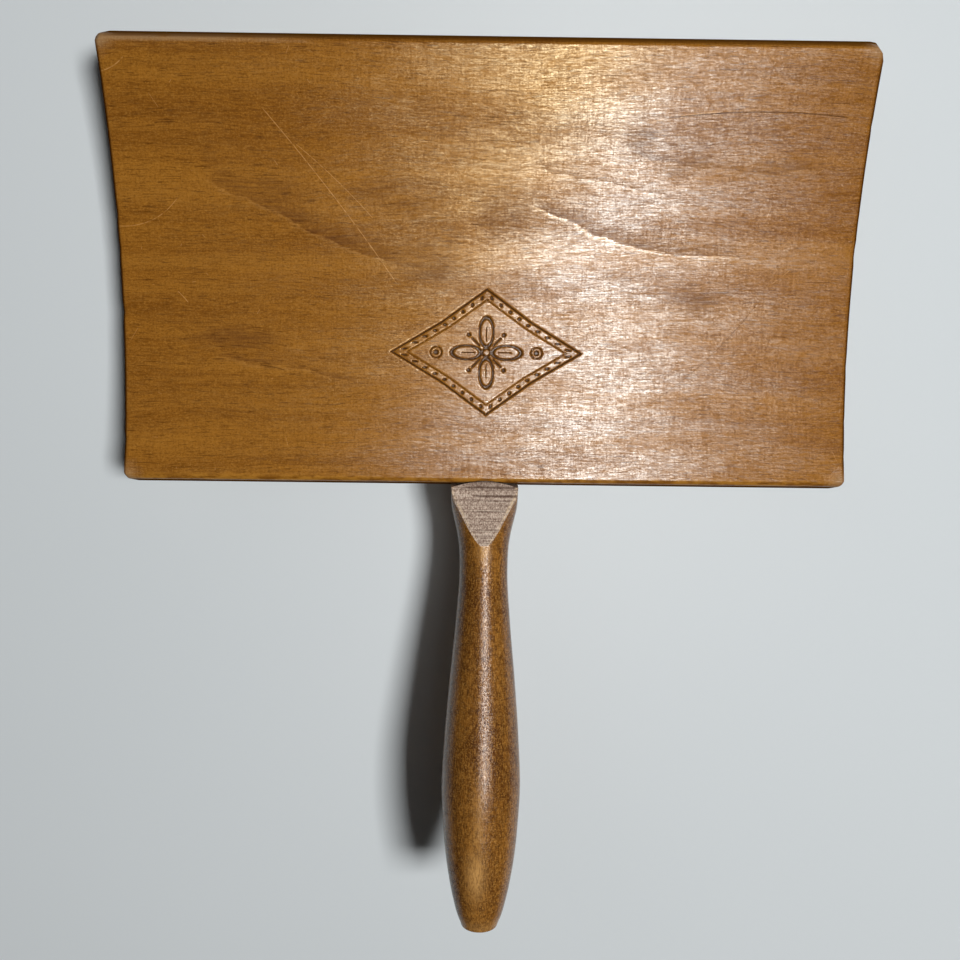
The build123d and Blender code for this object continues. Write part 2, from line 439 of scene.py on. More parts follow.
def board_wood():
    """Varnished, stained wood with its grain along X, worn pale on its corners and rims, with
    painted shade on its side faces and edges and a painted highlight on the light side of its
    growth lines.
    """
    look = Look("board_wood", IOR=1.7)
    centre = (0, BOARD_Y * MM_IN_METRE, CHORD_Z * MM_IN_METRE)
    centred = look.vector("SUBTRACT", look.place, centre)
    shift = look.linear(look.noise(centred, (0.012, 0.03, 0.03), 2), 9.0, -4.5)
    x, y, z = look.split(centred)
    bent = look.point(x, look.math("ADD", y, shift), z)
    flat = look.point(x, y)

    broad = look.noise(bent, (0.006, 0.13, 0.13), 3, 0.55)
    streaks = look.noise(bent, (0.03, 0.9, 0.9), 3, 0.6)
    fibre = look.noise(bent, (0.2, 1.9, 1.9), 3, 0.7)
    grit = look.noise(centred, (1.5, 2.1, 2.1), 3, 0.8)
    hatch = look.noise(centred, (2.4, 0.14, 0.14), 2, 0.6)
    look.base(broad, (0.32, 0.68), (134, 83, 22), (158, 104, 34))
    look.stain(streaks, (0.46, 0.74, 0.0, 0.26), (86, 46, 8))
    look.stain(fibre, (0.36, 0.56, 0.26, 0.0), (180, 122, 44))
    look.stain(fibre, (0.52, 0.68, 0.0, 0.24), (86, 48, 14))
    look.stain(grit, (0.50, 0.66, 0.0, 0.5), (86, 48, 12))
    look.stain(grit, (0.48, 0.34, 0.0, 0.4), (190, 136, 58))
    look.stain(hatch, (0.44, 0.66, 0.0, 0.16), (90, 52, 20))

    warp = look.linear(look.noise(centred, (0.06, 0.09, 0.06), 3), 6.0, -3.0)
    step = look.linear(look.noise(centred, (0.13, 1.5, 0.3), 3, 0.6), 2.6, -1.3)
    wobbly = look.math("ADD", y, look.math("ADD", warp, step))
    shades = [figure_with_highlight(look, x, wobbly, *line) for line in GROWTH_LINES]
    above, below = (strongest(look, side) for side in zip(*shades))
    clouds = strongest(look, [cloud_shade(look, flat, *cloud) for cloud in CLOUDS])
    patchy = look.rise(look.noise(bent, (0.05, 0.22, 0.2), 3, 0.65), 0.30, 0.64)
    dark = look.higher(look.times(clouds, patchy), above)
    ribbed = look.math("ADD", streaks, look.times(fibre, 0.4))
    look.lay(look.times(dark, look.rise(ribbed, 0.50, 0.85, 0.24, 0.56)), (90, 54, 30))
    # Painted highlight: a thin pale band on the light side of the growth lines, which is also made
    # glossier
    light = look.times(below, look.rise(fibre, 0.7, 0.4))
    look.lay(look.times(light, 0.75), (206, 158, 98))

    pores = look.rise(look.noise(bent, (0.2, 3.4, 3.4), 1, 0.4), 0.58, 0.68)
    pores = look.times(pores, look.rise(look.noise(bent, (0.22, 1.4, 1.4), 1), 0.40, 0.60))
    look.lay(look.times(pores, 0.6), (74, 38, 8))

    broken = look.rise(look.noise(centred, (0.6, 0.6, 0.6), 2), 0.34, 0.54, 0.10, 0.62)
    pale = strongest(look, [scratch_mask(look, flat, *line) for line in PALE_SCRATCHES])
    pale = look.times(pale, broken)
    for sizes in SHORT_SCRATCHES:
        pale = look.higher(pale, look.times(short_scratches(look, flat, *sizes), 0.42))
    look.lay(pale, (206, 152, 88))
    cracks = strongest(look, [scratch_mask(look, flat, *line) for line in DARK_SCRATCHES])
    look.lay(look.times(cracks, 0.6), (58, 30, 10))

    mottled = look.rise(look.noise(centred, (0.22, 0.5, 0.5), 3, 0.7), 0.36, 0.62)
    band = look.mix(mottled, srgb(116, 70, 16), srgb(178, 124, 46))
    look.lay(look.times(look.attribute("golden"), 0.7), band)
    wear, edge = look.attribute("wear"), look.attribute("end_grain_and_shade")
    scuffed = look.rise(look.noise(centred, (0.10, 0.25, 0.3), 3, 0.6), 0.33, 0.60, 0.35, 1.0)
    look.lay(look.times(wear, scuffed), (152, 116, 76))
    # Dark end grain at the two ends, with painted shade beside it and on the side faces and toe
    # edge that face away from the light
    look.lay(edge, look.mix(fibre, srgb(48, 25, 6), srgb(80, 44, 14)))
    line = look.rise(look.attribute("line_gap"), 0.34, 0.16)
    look.lay(look.times(line, 0.85), (46, 26, 18))

    ridges = look.noise(bent, (0.2, 2.6, 2.6), 3, 0.7)
    dashes = look.noise(bent, (0.3, 3.4, 3.4), 3, 0.7)
    height = look.linear(ridges, 0.8, look.times(pores, -0.3))
    height = look.linear(dashes, 0.2, height)
    height = look.linear(look.higher(pale, cracks), -0.6, height)
    patches = look.rise(look.noise(bent, (0.03, 0.12, 0.12), 3), 0.32, 0.62, 0.6, 1.1)
    patches = look.times(patches, look.linear(dark, -0.5, 1.0))
    gloss = look.math("ADD", patches, light)
    for value, *span in (
        (ridges, 0.62, 0.40, 0.55, 1.1),
        (dashes, 0.60, 0.40, 0.4, 1.15),
        (grit, 0.60, 0.36, 0.5, 1.2),
        (hatch, 0.66, 0.40, 0.7, 1.1),
        (edge, 0.6, 0.0),
        (look.higher(line, cracks), 0.0, 1.0, 1.0, 0.4),
    ):
        gloss = look.times(gloss, look.rise(value, *span))
    roughness = look.linear(look.higher(wear, edge), 0.35, look.linear(ridges, 0.08, 0.21))
    towards_right = look.rise(look.linear(y, -0.7, x), -25.0, 28.0)
    return look.finish(
        Roughness=roughness,
        Specular_IOR_Level=gloss,
        Specular_Tint=look.mix(towards_right, (1, 0.86, 0.55, 1), (0.94, 1, 1, 1)),
        Normal=look.bump(height, 0.05, 0.00014),
    )


def handle_place(look):
    """Millimetres across, above and along the handle, from its joint."""
    centred = look.vector("SUBTRACT", look.place, tuple(JOINT * MM_IN_METRE))
    across = look.split(centred)[0]
    return look.point(across, look.dot(centred, tuple(ABOVE)), look.dot(centred, tuple(ALONG)))


def handle_wood():
    """Dark stained, oiled wood with short pores along the handle and rubbed lighter patches."""
    look = Look("handle_wood", IOR=1.4)
    place = handle_place(look)
    broad = look.noise(place, (0.11, 0.11, 0.03), 3, 0.6, 0.3)
    mottle = look.noise(place, (0.7, 0.7, 0.5), 4, 0.7)
    dashes = look.noise(place, (2.6, 2.6, 0.5), 2, 0.6)
    grit = look.noise(place, (2.2, 2.2, 2.4), 2, 0.7)
    bands = look.noise(place, (0.35, 0.35, 2.6), 2, 0.6)
    look.base(broad, (0.34, 0.66), (94, 54, 16), (140, 91, 34))
    look.stain(mottle, (0.40, 0.62, 0.0, 0.58), (68, 34, 8))
    look.stain(grit, (0.34, 0.52, 0.56, 0.0), (192, 140, 68))
    look.stain(dashes, (0.52, 0.64, 0.0, 0.44), (54, 28, 8))
    look.stain(dashes, (0.47, 0.36, 0.0, 0.36), (184, 132, 62))
    look.stain(bands, (0.52, 0.64, 0.0, 0.34), (60, 32, 8))
    rings = look.rise(look.noise(place, (0.01, 0.01, 0.9), 2, 0.5), 0.66, 0.70)
    partly = look.rise(look.noise(place, (0.12, 0.12, 0.05), 2), 0.45, 0.6)
    rings = look.times(rings, partly)
    look.lay(look.times(rings, 0.5), (52, 26, 8))
    worn = look.times(look.attribute("wear"), look.rise(dashes, 0.64, 0.44, 0.55, 1.0))
    look.lay(worn, (198, 150, 88))
    pebbles = look.noise(place, (1.3, 1.3, 0.9), 3, 0.6)
    height = look.linear(rings, -0.5, look.linear(pebbles, 0.6, look.times(grit, 0.6)))
    return look.finish(
        Roughness=look.linear(mottle, 0.18, 0.17),
        Specular_IOR_Level=look.rise(grit, 0.62, 0.40, 0.2, 1.3),
        Normal=look.bump(height, 0.5, 0.00016),
    )


def raw_wood():
    """Bare sawn wood of the flats, pinkish grey with marks across the handle, painted shade in the
    deeper saw grooves and a pale rim that is broken finish with a painted highlight.
    """
    look = Look("raw_wood", Roughness=0.72, Specular_IOR_Level=0.25)
    place = handle_place(look)
    marks = look.noise(place, (0.03, 0.3, 2.4), 3, 0.7)
    grit = look.noise(place, (2.2, 2.2, 1.6), 3, 0.7)
    pores = look.noise(place, (3.6, 3.6, 0.9), 2, 0.5)
    look.base(grit, (0.34, 0.64), (130, 103, 88), (218, 198, 180))
    look.stain(pores, (0.48, 0.66, 0.0, 0.6), (104, 78, 64))
    look.stain(marks, (0.50, 0.62, 0.0, 0.6), (92, 68, 54))
    look.stain(marks, (0.44, 0.36, 0.0, 0.6), (226, 210, 192))
    # Painted shade in the deeper saw grooves
    look.lay(look.times(look.attribute("cut"), 0.8), (78, 56, 44))
    broken = look.rise(look.noise(place, (0.9, 0.9, 0.9), 2), 0.40, 0.58, 0.05, 0.9)
    # Pale rim of the flat: broken finish at its edge with a painted highlight, brighter on the
    # right
    look.lay(look.times(look.attribute("rim"), broken), (222, 196, 160))
    look.lay(look.attribute("stain"), (70, 42, 22))
    height = look.math("ADD", marks, look.times(grit, 0.6))
    return look.finish(Normal=look.bump(height, 0.7, 0.0002))


def rubber_face():
    """Dull warm grey rubber, slightly dusty."""
    look = Look("foundation_rubber", Roughness=0.72, Specular_IOR_Level=0.35)
    dust = look.noise(look.place, (0.05, 0.05, 0.05), 4, 0.6)
    grain = look.noise(look.place, (1.4, 1.4, 1.4), 3, 0.6)
    look.base(dust, (0.3, 0.7), (116, 108, 98), (140, 130, 117))
    look.stain(grain, (0.5, 0.8, 0.0, 0.3), (92, 84, 76))
    return look.finish(Normal=look.bump(grain, 0.3, 0.0001))


def woven_fabric():
    """Plied cotton: warp and weft threads crossing at right angles, dusty at the cut edge."""
    look = Look("foundation_fabric", Roughness=0.9, Specular_IOR_Level=0.15)
    x, y, z = look.split(look.place)
    warp_spacing, weft_spacing = 0.8, 0.7
    warp = look.math("SINE", look.times(x, 2 * math.pi / warp_spacing))
    weft = look.math("SINE", look.times(look.math("ADD", y, z), 2 * math.pi / weft_spacing))
    weave = look.higher(warp, weft)
    dirt = look.noise(look.place, (0.12, 0.12, 0.12), 3, 0.6)
    look.base(weave, (-0.2, 1.0), (134, 118, 92), (196, 182, 152))
    look.stain(dirt, (0.45, 0.75, 0.0, 0.5), (128, 110, 86))
    return look.finish(Normal=look.bump(weave, 0.6, 0.0001))


def wire_metal(name, bright, dull, roughness):
    """Drawn steel wire with a faint change of colour along it."""
    look = Look(name, Metallic=1.0, Roughness=roughness)
    tarnish = look.noise(look.place, (0.35, 0.35, 0.35), 3, 0.6)
    look.base(tarnish, (0.35, 0.7), bright, dull)
    return look.finish(Roughness=look.linear(tarnish, 0.25, roughness - 0.1))


def floor_paint():
    """Plain pale floor."""
    look = Look("floor", Roughness=0.5, Specular_IOR_Level=0.35)
    tone = look.noise(look.place, (0.003, 0.003, 0.003), 2)
    look.colour = look.mix(tone, srgb(209, 216, 220), srgb(216, 222, 226))
    return look.finish()


# ---- back board

CORNER_RADIUS = 2.0 * MM
LONG_ROUND_OVER = 1.9 * MM
END_ROUND_OVER = 1.1 * MM
FRONT_ROUND_OVER = 0.8 * MM
ORNAMENT_CENTRE = (0.0, -24.5 * MM)
ORNAMENT_HALF = (29 * MM, 19 * MM)
ORNAMENT_DEPTH = 0.32 * MM
LINE_HALF = 0.4 * MM


def ornament_gap(u, v):
    """Distance to the nearest pressed line: two lozenges with beads between, round a flower."""
    x, y = u - ORNAMENT_CENTRE[0], v - ORNAMENT_CENTRE[1]
    half_x, half_y = ORNAMENT_HALF
    side = math.hypot(half_x, half_y)
    slope = half_x * half_y / side
    reach_x, reach_y = np.abs(x) / half_x, np.abs(y) / half_y
    scale = reach_x + reach_y + 0.10 * np.minimum(reach_x, reach_y)
    gaps = [np.abs(scale - 1.0) * slope, np.abs(scale - 0.84) * slope + 0.14 * MM]

    beads = 9
    share = reach_x / np.maximum(reach_x + reach_y, 1e-9) * beads
    beside = (share - np.floor(share) - 0.5) * side * 0.92 / beads
    gaps.append(np.maximum(np.hypot(beside, (scale - 0.92) * slope) - 0.30 * MM, 0))

    length, width = 4.4 * MM, 2.1 * MM
    for turn in range(4):
        angle = turn * math.pi / 2
        along, across = turned(x, y, angle)
        petal = np.sqrt(((along - 6.2 * MM) / length) ** 2 + (across / width) ** 2)
        vein = np.hypot(np.maximum(np.abs(along - 5.6 * MM) - 2.0 * MM, 0), across)
        gaps += [np.abs(petal - 1) * width * 0.9, vein + 0.16 * MM]
        along, across = turned(x, y, angle + math.pi / 4)
        stem = np.hypot(np.maximum(np.abs(along - 4.6 * MM) - 1.6 * MM, 0), across)
        bud = np.hypot(along - 7.6 * MM, across) - 0.35 * MM
        gaps += [stem, np.maximum(bud, 0)]
    gaps.append(np.abs(np.hypot(x, y) - 1.2 * MM))
    for side_x in (-1, 1):
        dot = np.hypot(x - side_x * 15.4 * MM, y)
        gaps += [np.maximum(dot - 0.5 * MM, 0), np.abs(dot - 1.7 * MM) + 0.1 * MM]
    return np.minimum.reduce(gaps)


def rounded(places):
    """Moves the points of a box's surface onto rounded corners and edges."""
    u, v, w = places.T.copy()
    inner_u, inner_v = HALF_WIDTH - CORNER_RADIUS, HALF_ARC - CORNER_RADIUS
    base_u, base_v = np.clip(u, -inner_u, inner_u), np.clip(v, -inner_v, inner_v)
    du, dv = u - base_u, v - base_v
    reach = np.maximum(np.abs(du), np.abs(dv))
    length = np.maximum(np.hypot(du, dv), 1e-12)
    inset = CORNER_RADIUS - reach
    on_rim = reach > 1e-9
    back_radius = np.hypot(END_ROUND_OVER * du, LONG_ROUND_OVER * dv) / length

    new_inset, new_w = inset, w
    for radius, depth, place in (
        (np.maximum(back_radius, END_ROUND_OVER), w, 0.0),
        (FRONT_ROUND_OVER, BOARD_THICKNESS - w, BOARD_THICKNESS),
    ):
        flat = (depth < 1e-9) & (inset < radius) & on_rim
        side = (inset < 1e-9) & (depth < radius) & on_rim & ~flat
        turn = np.where(flat, 1 - inset / radius, 1 + depth / radius) * math.pi / 4
        bent = flat | side
        sink = radius * (1 - np.cos(turn))
        new_inset = np.where(bent, radius * (1 - np.sin(turn)), new_inset)
        new_w = np.where(bent, np.abs(place - sink), new_w)
    scale = np.where(on_rim, (CORNER_RADIUS - new_inset) / length, 0)
    return base_u + du * scale, base_v + dv * scale, new_w


# Worn corners of the board: their sides in u and v, the depth of wear and its lean to the back
KNOCKS = [
    (1, 1, 1.5 * MM, 0.35),
    (-1, 1, 0.8 * MM, 0.9),
    (-1, -1, 0.6 * MM, 0.5),
    (1, -1, 0.5 * MM, 0.5),
]
DENT_COUNT = 26


def knocked(u, v, w):
    """Wears the board's corners flat and presses small dents into its back edges."""
    for side_u, side_v, depth, lean in KNOCKS:
        normal = np.array([side_u, side_v, -lean]) / math.sqrt(2 + lean * lean)
        corner = np.array([side_u * HALF_WIDTH, side_v * HALF_ARC, 0.0])
        limit = corner @ normal - depth - 0.8 * MM
        over = np.maximum(u * normal[0] + v * normal[1] + w * normal[2] - limit, 0)
        u, v, w = u - over * normal[0], v - over * normal[1], w - over * normal[2]
    draw = random.Random(7)
    for _ in range(DENT_COUNT):
        if draw.random() < 0.55:
            side, place = draw.choice((-1, 1)), draw.uniform(-1, 1)
        else:
            side, place = draw.uniform(-1, 1), draw.choice((-1, 1))
        centre_u, centre_v = side * HALF_WIDTH, place * HALF_ARC
        radius, depth = draw.uniform(0.9, 2.6) * MM, draw.uniform(0.08, 0.28) * MM
        near = np.exp(-((u - centre_u) ** 2 + (v - centre_v) ** 2 + w**2) / radius**2)
        u = u - np.sign(centre_u) * (abs(centre_u) == HALF_WIDTH) * near * depth
        v = v - np.sign(centre_v) * (abs(centre_v) == HALF_ARC) * near * depth
        w = w + near * depth * 0.6
    return u, v, w


def make_board(wood):
    """The back board, on grids that are fine at the ornament and along the heel edge."""
    edge = [i * CORNER_RADIUS / EDGE_STEPS for i in range(EDGE_STEPS + 1)]
    fine, coarse, margin = 0.25 * MM, 2.5 * MM, 1 * MM
    rim_u, rim_v = HALF_WIDTH - CORNER_RADIUS, HALF_ARC - CORNER_RADIUS
    fine_u = ORNAMENT_HALF[0] + margin
    low_v, high_v = (ORNAMENT_CENTRE[1] + s * (ORNAMENT_HALF[1] + margin) for s in (-1, 1))
    heel_zone = -HALF_ARC + 4 * MM
    u_lines = joined(
        [-HALF_WIDTH + e for e in edge],
        spaced(-rim_u, -fine_u, coarse),
        spaced(-fine_u, fine_u, fine),
        spaced(fine_u, rim_u, coarse),
        [HALF_WIDTH - e for e in edge],
    )
    v_lines = joined(
        [-HALF_ARC + e for e in edge],
        spaced(-rim_v, heel_zone, fine),
        spaced(heel_zone, low_v, coarse),
        spaced(low_v, high_v, fine),
        spaced(high_v, rim_v, coarse),
        [HALF_ARC - e for e in edge],
    )
    w_lines = joined(
        edge,
        spaced(CORNER_RADIUS, BOARD_THICKNESS - FRONT_ROUND_OVER, 2 * MM),
        [BOARD_THICKNESS - i * FRONT_ROUND_OVER / 3 for i in range(4)],
    )
    places, faces = slab(u_lines, v_lines, w_lines, coarse_front=-heel_zone - 1e-6)
    u, v, w = knocked(*rounded(places))
    on_back = places[:, 2] < 1e-9
    gap = ornament_gap(u, v)
    w = w + smooth(LINE_HALF, LINE_HALF * 0.3, gap) * on_back * ORNAMENT_DEPTH

    # The seat for the handle's shoulder: an upright cylinder cut into the heel edge
    points = arc_points(u, v, w)
    wall = SEAT_CENTRE_Y + np.sqrt(np.maximum(SEAT_RADIUS**2 - points[:, 0] ** 2, 0))
    in_seat = (np.abs(points[:, 0]) < SHOULDER_HALF) & (v < 0) & (points[:, 1] < wall)
    points[in_seat, 1] = wall[in_seat]

    piece = make_object("board", points, faces, [wood])
    end_gap, long_gap = HALF_WIDTH - np.abs(u), HALF_ARC - np.abs(v)
    at_back = smooth(2.4 * MM, 1.2 * MM, w)
    rim = smooth(2.2 * MM, 1.0 * MM, long_gap) * at_back
    toe_left = (v > 0) * smooth(-40 * MM, -80 * MM, u)
    corner = smooth(7 * MM, 1.5 * MM, np.hypot(end_gap, long_gap)) * at_back
    set_attribute(piece, "wear", np.maximum(corner, rim * toe_left * 0.9))
    set_attribute(piece, "golden", rim * (v < 0))
    # Dark edges: end grain at the two ends, widened by painted shade, and painted shade on the long
    # side faces and along the toe edge, less on the worn corners
    end_edge = smooth(1.2 * MM, 0.5 * MM, end_gap)
    shaded_long_side = 0.7 * smooth(0.5 * MM, 0.1 * MM, long_gap) * smooth(1.0 * MM, 2.0 * MM, w)
    shaded_toe_line = 0.65 * (v > 0) * smooth(0.9 * MM, 0.4 * MM, long_gap)
    edge_grain_and_shade = np.maximum(np.maximum(end_edge, shaded_long_side), shaded_toe_line) * (1 - corner * 0.7)
    set_attribute(piece, "end_grain_and_shade", edge_grain_and_shade * (w < BOARD_THICKNESS - 0.4 * MM))
    set_attribute(piece, "line_gap", np.where(on_back, np.minimum(gap / MM, 2.0), 2.0))
    stand_for(piece, "board_wood", "back_board")


# ---- handle

# Outline of the turned handle: distance from the joint and radius, in millimetres
STATIONS = [
    (-4, 15.0), (4.3, 11.75), (8.5, 10.2), (13, 8.95), (18, 8.0), (27, 7.55), (42, 8.45),
    (62, 10.3), (80, 11.7), (98, 12.35), (106, 11.9), (115, 11.15), (123, 10.0), (131, 8.4),
    (136, 7.05), (140, 5.4),
]
BUTT_ROUND_OVER = 1.0
# The sawn flat on the back side: distance from the joint and height above the handle's axis
TOP_FLAT = ((-2.5, 6.1), (18.5, 7.8))
FLAT_EDGE = 0.4
UNDERSIDE_FLAT = 9.4 * MM
TENON_RADIUS = 2.9 * MM
TENON_DEPTH = 22 * MM
FLAT_STEPS, SIDE_STEPS = 12, 22
LEAST_FLAT = 0.9


def station_radius(distance):
    """Radius of the turned outline at a distance, on a smooth curve through STATIONS."""
    x, y = np.array(STATIONS, float).T
    slope = np.gradient(y, x)
    i = int(np.clip(np.searchsorted(x, distance) - 1, 0, len(x) - 2))
    h = x[i + 1] - x[i]
    t = (distance - x[i]) / h
    rise_from = y[i] * (2 * t**3 - 3 * t**2 + 1) + h * slope[i] * (t**3 - 2 * t**2 + t)
    rise_to = y[i + 1] * (3 * t**2 - 2 * t**3) + h * slope[i + 1] * (t**3 - t**2)
    return rise_from + rise_to


def top_height(distance):
    """Height of the sawn flat above the handle's axis, in millimetres."""
    (x0, y0), (x1, y1) = TOP_FLAT
    return y0 + (y1 - y0) * (distance - x0) / (x1 - x0)


def under_height(distance):
    """Depth of the flat on the teeth side below the handle's axis, in millimetres."""
    flat_z = CHORD_Z - UNDERSIDE_FLAT
    return (JOINT.z + distance * MM * math.sin(PITCH) - flat_z) / math.cos(PITCH) / MM


def side_radius(radius, angle):
    """Distance from the axis to the round or to a side flat, whichever is nearer, eased."""
    if radius < SHOULDER_HALF / MM * 0.92:
        return radius
    ease = 30
    flat = abs(math.sin(angle)) * MM / SHOULDER_HALF
    return ((1 / radius) ** ease + flat**ease) ** (-1 / ease)


def cap(radius, height):
    """The right half of a section's top, as (across, above): a flat at this height within the side
    flats, or the round. Also the angle where the side starts, and whether there is a flat."""
    half_width = min(SHOULDER_HALF / MM, math.sqrt(max(radius**2 - height**2, 0)))
    shares = [i / FLAT_STEPS for i in range(FLAT_STEPS + 1)]
    if half_width > LEAST_FLAT:
        points = [((half_width - FLAT_EDGE) * share, height) for share in shares]
        return points, math.atan2(half_width, height - FLAT_EDGE), True
    turns = [share * LEAST_FLAT / radius for share in shares]
    points = [(radius * math.sin(t), min(radius * math.cos(t), height)) for t in turns]
    return points, 1.5 * LEAST_FLAT / radius, False


def half_section(radius, top, under, sided):
    """The right half of a section, from the top middle to the bottom middle, as (across, above)."""
    points, start, flat_top = cap(radius, top)
    lower, end, flat_under = cap(radius, under)
    for i in range(SIDE_STEPS + 1):
        angle = start + (math.pi - end - start) * i / SIDE_STEPS
        distance = side_radius(radius, angle) if sided else radius
        points.append((distance * math.sin(angle), distance * math.cos(angle)))
    points += [(across, -above) for across, above in reversed(lower)]
    return points, flat_top, flat_under


def bell(value, centre, width):
    """1 at the centre, and falling to 0 over about two widths on both sides."""
    return math.exp(-(((value - centre) / width) ** 2))


def saw_depth(distance, across, marks):
    """How deep the saw marks go at a place on the flat, in millimetres."""
    depth = 0.0
    for place, width, deep, start in marks:
        fade = min(1.0, max(0.0, (across - start) / 2))
        depth += deep * fade * bell(distance, place, width)
    return depth


def handle_wear(at, across, above):
    """Where the finish is rubbed pale: below the flat's tip, low on the belly and at the butt."""
    stub = bell(at, 20.5, 3.2) * bell(across, 0, 1.6)
    patch = bell(at, 120, 7.5) * bell(across, -1.2, 2.6)
    streak = 0.45 * bell(at, 104, 12) * bell(across, -0.6, 1.6)
    butt = 0.4 * bell(at, 138.5, 2.5)
    return max(max(stub, patch, streak) * (above > 0), butt)


# Saw marks on the flat, as counts and ranges of their place, width, depth and start across
SAW_MARKS = [
    (11, ((-1.4, 3.6), (0.14, 0.26), (0.05, 0.14), (-12, 0))),
    (8, ((4, 17), (0.16, 0.3), (0.02, 0.06), (-9, 3))),
]
DEEP_MARK = (8.4, 0.22, 0.10, -4.0)


def make_handle(wood, bare):
    """The handle as rings of points from its seat to the butt, and its tenon."""
    draw = random.Random(11)
    marks = [DEEP_MARK]
    for count, ranges in SAW_MARKS:
        marks += [[draw.uniform(*span) for span in ranges] for _ in range(count)]
    length = STATIONS[-1][0]
    rings = spaced(0.0, 22.0, 0.22) + spaced(23.2, 136.0, 1.4) + [137.2, 138.2]
    seat_rings = 16
    vertices, rim, stain, wear, saw_groove_shade, flats = [], [], [], [], [], []
    half = 2 * (FLAT_STEPS + 1) + SIDE_STEPS + 1
    count = 2 * half - 2

    def add_ring(distance, radius, from_seat=1.0):
        heights = top_height(distance), under_height(distance)
        points, flat_top, flat_under = half_section(radius, *heights, distance < 20)
        order = [*range(half), *range(half - 2, 0, -1)]
        for place, i in enumerate(order):
            across, above = points[i]
            across = across if place < half else -across
            seat_y = SEAT_CENTRE_Y + math.sqrt(SEAT_RADIUS**2 - (across * MM) ** 2)
            end = (JOINT.y + above * MM * math.sin(PITCH) - seat_y) / math.cos(PITCH) / MM
            at = end + (distance - end) * from_seat
            on_top = flat_top and i <= FLAT_STEPS
            depth = 0.0
            if on_top:
                above += top_height(at) - top_height(distance)
                depth = saw_depth(at, across, marks)
                above -= depth * (1 - (i / FLAT_STEPS) ** 8)
            # Painted shade: darker the deeper the saw groove
            saw_groove_shade.append(min(1.0, depth / 0.12))
            # The flat's pale rim: broken finish with a painted highlight, brighter on the right,
            # where the light comes from
            worn_rim_and_highlight = 0.95 if across > 0 else 0.7
            rim.append(float(smooth(0.9, 1.0, i / FLAT_STEPS)) * worn_rim_and_highlight * on_top)
            dark = math.exp(-(((across + 0.8) / 3.8) ** 4)) * bell(at, -1.35, 0.55)
            stain.append(0.85 * dark * on_top)
            wear.append(handle_wear(at, across, above))
            offset = ALONG * (at * MM) + ABOVE * (above * MM) + Vector((across * MM, 0, 0))
            vertices.append(JOINT + offset)
        flats.append((flat_top, flat_under))

    for i, distance in enumerate(rings):
        add_ring(distance, station_radius(distance), min(1.0, i / seat_rings))
    straight = station_radius(length - BUTT_ROUND_OVER)
    for i in range(6):
        turn = i / 5 * math.pi / 2
        inward = BUTT_ROUND_OVER * (1 - math.cos(turn))
        add_ring(length - BUTT_ROUND_OVER * (1 - math.sin(turn)), straight - inward)
    for share in (0.66, 0.33, 0.08):
        add_ring(length + 0.1 * (1 - share), (straight - BUTT_ROUND_OVER) * share)

    faces, face_material = ring_quads(len(flats), count), []
    for flat_top, flat_under in flats[:-1]:
        for i in range(count):
            place = i if i < half - 1 else count - 1 - i
            on_top = flat_top and place <= FLAT_STEPS
            on_under = flat_under and place >= half - FLAT_STEPS - 2
            face_material.append(1 if on_top or on_under else 0)
    faces.append(list(range(count))[::-1])
    last = (len(flats) - 1) * count
    faces.append([last + i for i in range(count)])
    face_material += [1, 0]

    sides, start, chamfer = 32, len(vertices), 0.8 * MM
    for at, shrink in ((-TENON_DEPTH, chamfer), (-TENON_DEPTH + chamfer, 0), (0.0, 0)):
        radius = TENON_RADIUS - shrink
        for i in range(sides):
            turn = 2 * math.pi * i / sides
            side = Vector((radius * math.sin(turn), 0, 0)) + ABOVE * (radius * math.cos(turn))
            vertices.append(JOINT + ALONG * at + side)
    faces += ring_quads(3, sides, start)
    faces.append([start + i for i in reversed(range(sides))])
    faces.append([start + 2 * sides + i for i in range(sides)])
    face_material += [1] * (2 * sides + 2)

    piece = make_object("turned_handle", vertices, faces, [wood, bare], face_material, 28)
    padding = [0.0] * (3 * sides)
    for name, values in (("rim", rim), ("stain", stain), ("wear", wear), ("cut", saw_groove_shade)):
        set_attribute(piece, name, values + padding)
    stand_for(piece, "handle_wood", "handle")


# ---- card clothing


def make_plate(name, kind, inner, outer, plies, material, seed):
    """One layer of the clothing, with wavy cut edges and a groove between its plies."""
    low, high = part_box(f"clothing_{kind}")
    half_width = (high.x - low.x) / 2
    half_arc = math.asin((high.y - low.y) / 2 / outer) * BACK_RADIUS
    w_inner, w_outer = inner - BACK_RADIUS, outer - BACK_RADIUS
    w_lines = spaced(w_inner, w_outer, (w_outer - w_inner) / (plies * 4))
    u_lines, v_lines = (spaced(-half, half, 1.5 * MM) for half in (half_width, half_arc))
    places, faces = slab(u_lines, v_lines, w_lines)
    u, v, w = places.T.copy()
    depth = (w - w_inner) / (w_outer - w_inner)
    groove = 0.16 * MM * (1 - np.abs(np.sin(depth * plies * math.pi)) ** 0.5)
    wave = 0.12 * MM * np.sin(u / (2.3 * MM) + seed) * np.sin(v / (3.1 * MM) + seed * 2)
    inset = groove + wave + 0.14 * MM
    on_u, on_v = np.abs(u) > half_width - 1e-9, np.abs(v) > half_arc - 1e-9
    u = np.where(on_u, u - np.sign(u) * inset, u)
    v = np.where(on_v, v - np.sign(v) * inset, v)
    piece = make_object(name, arc_points(u, v, w), faces, [material], sharp_degrees=50)
    stand_for(piece, f"foundation_{kind}", f"clothing_{kind}")


def bent_path(corners, radii, steps):
    """Points along straight runs through the corners, each corner rounded by its radius."""
    corners = [Vector(c) for c in corners]
    path = [corners[0]]
    for i, radius in enumerate(radii, start=1):
        before = (corners[i - 1] - corners[i]).normalized()
        after = (corners[i + 1] - corners[i]).normalized()
        cut = radius / math.tan(before.angle(after) / 2)
        first, last = corners[i] + before * cut, corners[i] + after * cut
        for step in range(steps + 1):
            t = step / steps
            path.append(first * (1 - t) ** 2 + corners[i] * 2 * t * (1 - t) + last * t * t)
    path.append(corners[-1])
    return path


